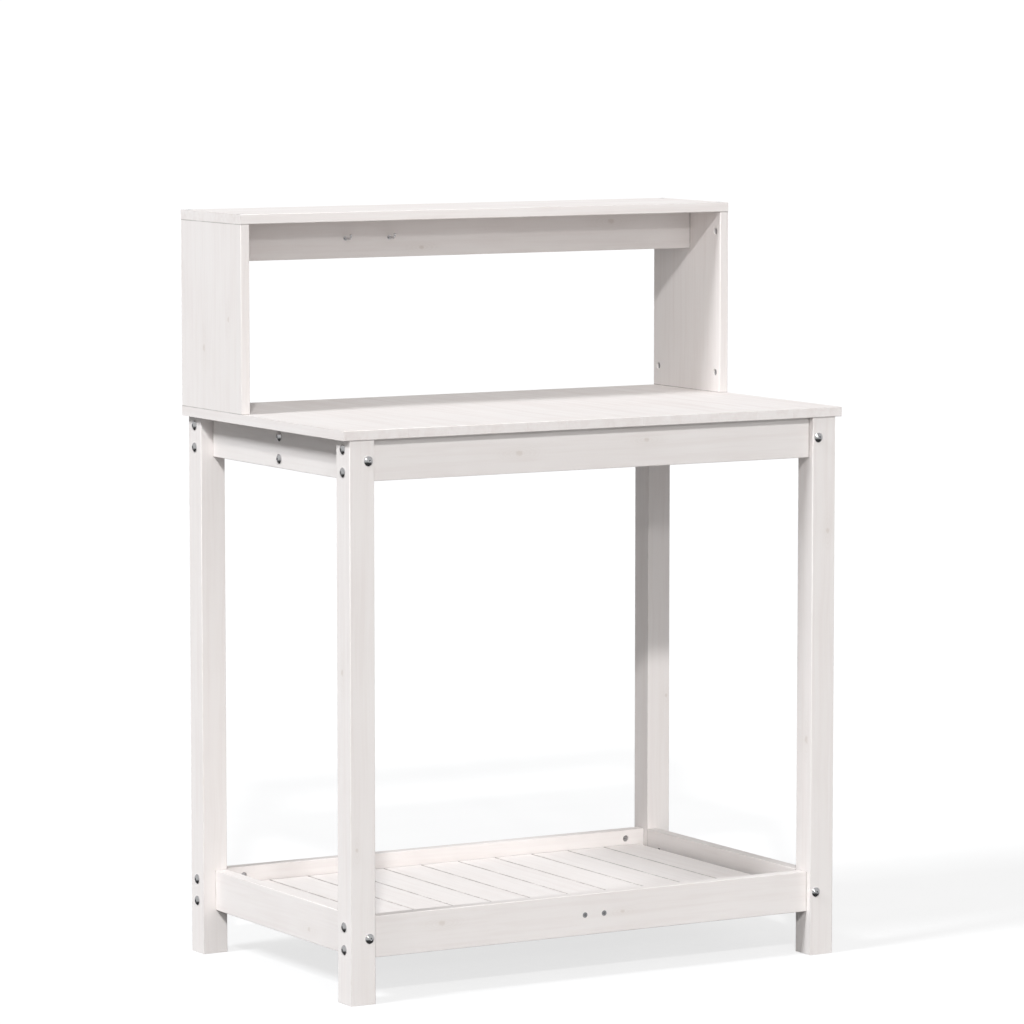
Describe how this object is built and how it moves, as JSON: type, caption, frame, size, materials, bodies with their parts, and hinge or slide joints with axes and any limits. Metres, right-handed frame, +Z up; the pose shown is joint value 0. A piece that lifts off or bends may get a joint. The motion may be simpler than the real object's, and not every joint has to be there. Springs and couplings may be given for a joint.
{
  "type": "potting bench",
  "caption": "Flat-pack garden potting bench of white-painted pine: leg frame with a work surface, a hutch with shelf and hooked hanging rail, and a planked lower tray.",
  "frame": {"origin": "on the floor, under the middle of the bench", "axes": "+Z up, -Y is the front that the user stands at, +X to the user's right"},
  "size_m": [0.825, 0.5026, 1.095],
  "materials": {
    "white_paint": "satin white paint over knotty pine, grain showing through",
    "polished_steel": "bright zinc plate, polished",
    "zinc_steel": "dull zinc plate",
    "beech": "bare beech dowel"
  },
  "bodies": {
    "root": {"leg_front_left": "white_paint", "leg_front_right": "white_paint", "leg_rear_left": "white_paint", "leg_rear_right": "white_paint", "apron_front": "white_paint", "apron_rear": "white_paint", "apron_left": "white_paint", "apron_right": "white_paint", "middle_rail": "white_paint", "tabletop": "white_paint", "tray_rail_front": "white_paint", "tray_rail_rear": "white_paint", "tray_rail_left": "white_paint", "tray_rail_right": "white_paint", "tray_bearer_front": "white_paint", "tray_bearer_rear": "white_paint", "hutch_panel_left": "white_paint", "hutch_panel_right": "white_paint", "top_shelf": "white_paint", "hanging_rail": "white_paint", "tray_plank_1": "white_paint", "tray_plank_2": "white_paint", "tray_plank_3": "white_paint", "tray_plank_4": "white_paint", "tray_plank_5": "white_paint", "tray_plank_6": "white_paint", "tray_plank_7": "white_paint", "tray_plank_8": "white_paint", "tray_plank_9": "white_paint", "tray_plank_10": "white_paint", "tray_plank_11": "white_paint", "leg_bolts_side": "polished_steel", "leg_bolts_front_rear": "polished_steel", "middle_rail_bolts": "polished_steel", "hook_1": "polished_steel", "hook_2": "polished_steel", "rail_barrel_nuts": "zinc_steel", "hutch_bolts": "zinc_steel", "hutch_barrel_nuts": "zinc_steel", "tray_end_screws": "zinc_steel", "bearer_screws": "zinc_steel", "plank_screws": "zinc_steel", "tabletop_brackets": "zinc_steel", "bracket_screws": "zinc_steel", "hanging_rail_dowels": "beech"}
  },
  "joints": []
}
